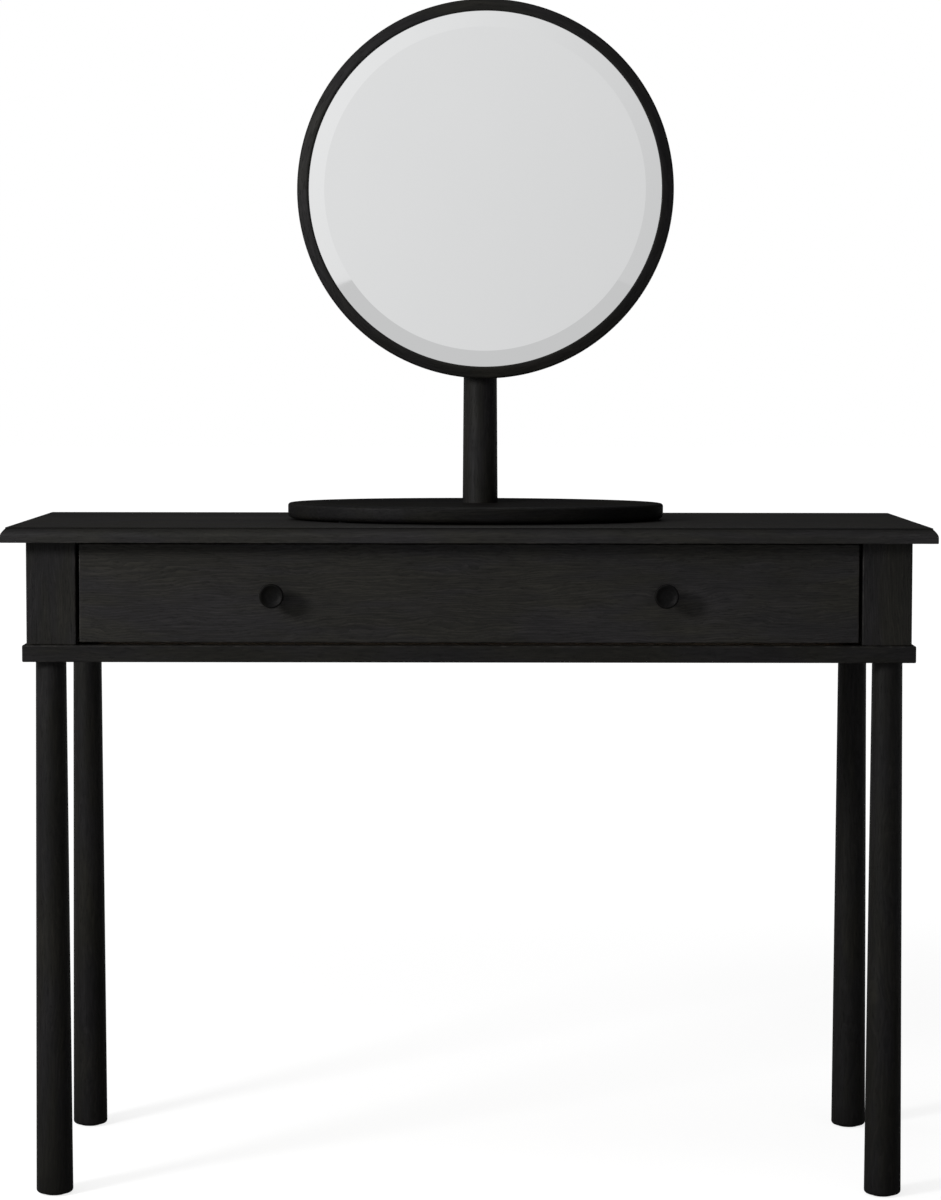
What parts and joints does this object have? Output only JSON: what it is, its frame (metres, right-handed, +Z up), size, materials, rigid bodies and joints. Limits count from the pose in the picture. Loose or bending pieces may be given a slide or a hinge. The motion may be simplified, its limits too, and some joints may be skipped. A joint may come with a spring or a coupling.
{
  "type": "dressing table with mirror",
  "caption": "Black-stained wooden dressing table on round tapering legs, with a wide drawer and a loose round tilting mirror on an oval stand.",
  "frame": {"origin": "on the floor under the middle of the table top", "axes": "+X to the user's right along the top, +Y from the user towards the wall, +Z up"},
  "size_m": [1.1, 0.45, 1.4487],
  "materials": {
    "black_stained_oak": "black stain over open grain, satin lacquer",
    "plain_drawer_wood": "sanded, clear lacquered",
    "drawer_plywood": "sanded plywood",
    "backing_board_black": "fibreboard painted matt black",
    "silvered_glass": "silvered float glass, ground and polished bevel",
    "black_steel": "black powder coat",
    "zinc_steel": "zinc plated",
    "insert_brass": "plain",
    "glide_nylon": "matt",
    "fibre": "vulcanised fibre",
    "felt": "pressed felt"
  },
  "bodies": {
    "table": {"bearer_screws": "zinc_steel", "drawer_bearer_left": "plain_drawer_wood", "drawer_bearer_right": "plain_drawer_wood", "drawer_guide_left": "plain_drawer_wood", "drawer_guide_right": "plain_drawer_wood", "drawer_kicker_left": "plain_drawer_wood", "drawer_kicker_right": "plain_drawer_wood", "drawer_stops": "plain_drawer_wood", "front_post_left": "black_stained_oak", "front_post_right": "black_stained_oak", "glide_front_left": "glide_nylon", "glide_front_right": "glide_nylon", "glide_rear_left": "glide_nylon", "glide_rear_right": "glide_nylon", "kicker_screws": "zinc_steel", "leg_bolts": "zinc_steel", "leg_front_left": "black_stained_oak", "leg_front_right": "black_stained_oak", "leg_inserts": "insert_brass", "leg_rear_left": "black_stained_oak", "leg_rear_right": "black_stained_oak", "rear_panel": "black_stained_oak", "rear_post_left": "black_stained_oak", "rear_post_right": "black_stained_oak", "side_panel_left": "black_stained_oak", "side_panel_right": "black_stained_oak", "table_top": "black_stained_oak", "top_rail_front": "black_stained_oak", "top_rail_rear": "plain_drawer_wood", "top_screws": "zinc_steel", "waist_rail_front": "black_stained_oak", "waist_rail_left": "black_stained_oak", "waist_rail_rear": "black_stained_oak", "waist_rail_right": "black_stained_oak"},
    "drawer": {"drawer_front": "black_stained_oak", "drawer_side_left": "plain_drawer_wood", "drawer_side_right": "plain_drawer_wood", "drawer_back": "plain_drawer_wood", "drawer_bottom": "drawer_plywood", "drawer_batten": "plain_drawer_wood", "knob_left": "black_stained_oak", "knob_right": "black_stained_oak", "knob_screws": "zinc_steel"},
    "mirror_stand": {"mirror_base": "black_stained_oak", "base_pads": "felt", "mirror_stem": "black_stained_oak", "stem_washer": "zinc_steel", "stem_bolt": "zinc_steel", "pivot_bolt": "black_steel", "pivot_nut": "black_steel", "pivot_fibre_washers": "fibre", "pivot_steel_washers": "black_steel"},
    "mirror_head": {"mirror_ring": "black_stained_oak", "mirror_glass": "silvered_glass", "backing_board": "backing_board_black", "pivot_yoke": "black_steel", "yoke_screws": "zinc_steel", "retaining_clips": "black_steel", "clip_screws": "zinc_steel"}
  },
  "joints": [
    {"name": "drawer_slide", "type": "slide", "parent": "table", "child": "drawer", "axis": [0, -1, 0], "range_m": [0, 0.28]},
    {"name": "mirror_stand_lift", "type": "slide", "parent": "table", "child": "mirror_stand", "axis": [0, 0, 1], "range_m": [0, 0.1]},
    {"name": "mirror_tilt", "type": "hinge", "parent": "mirror_stand", "child": "mirror_head", "pos_m": [0.01314, 0.10479, 1.213], "axis": [-0.9976, 0.0698, 0], "range_deg": [-1.2, 22]}
  ]
}
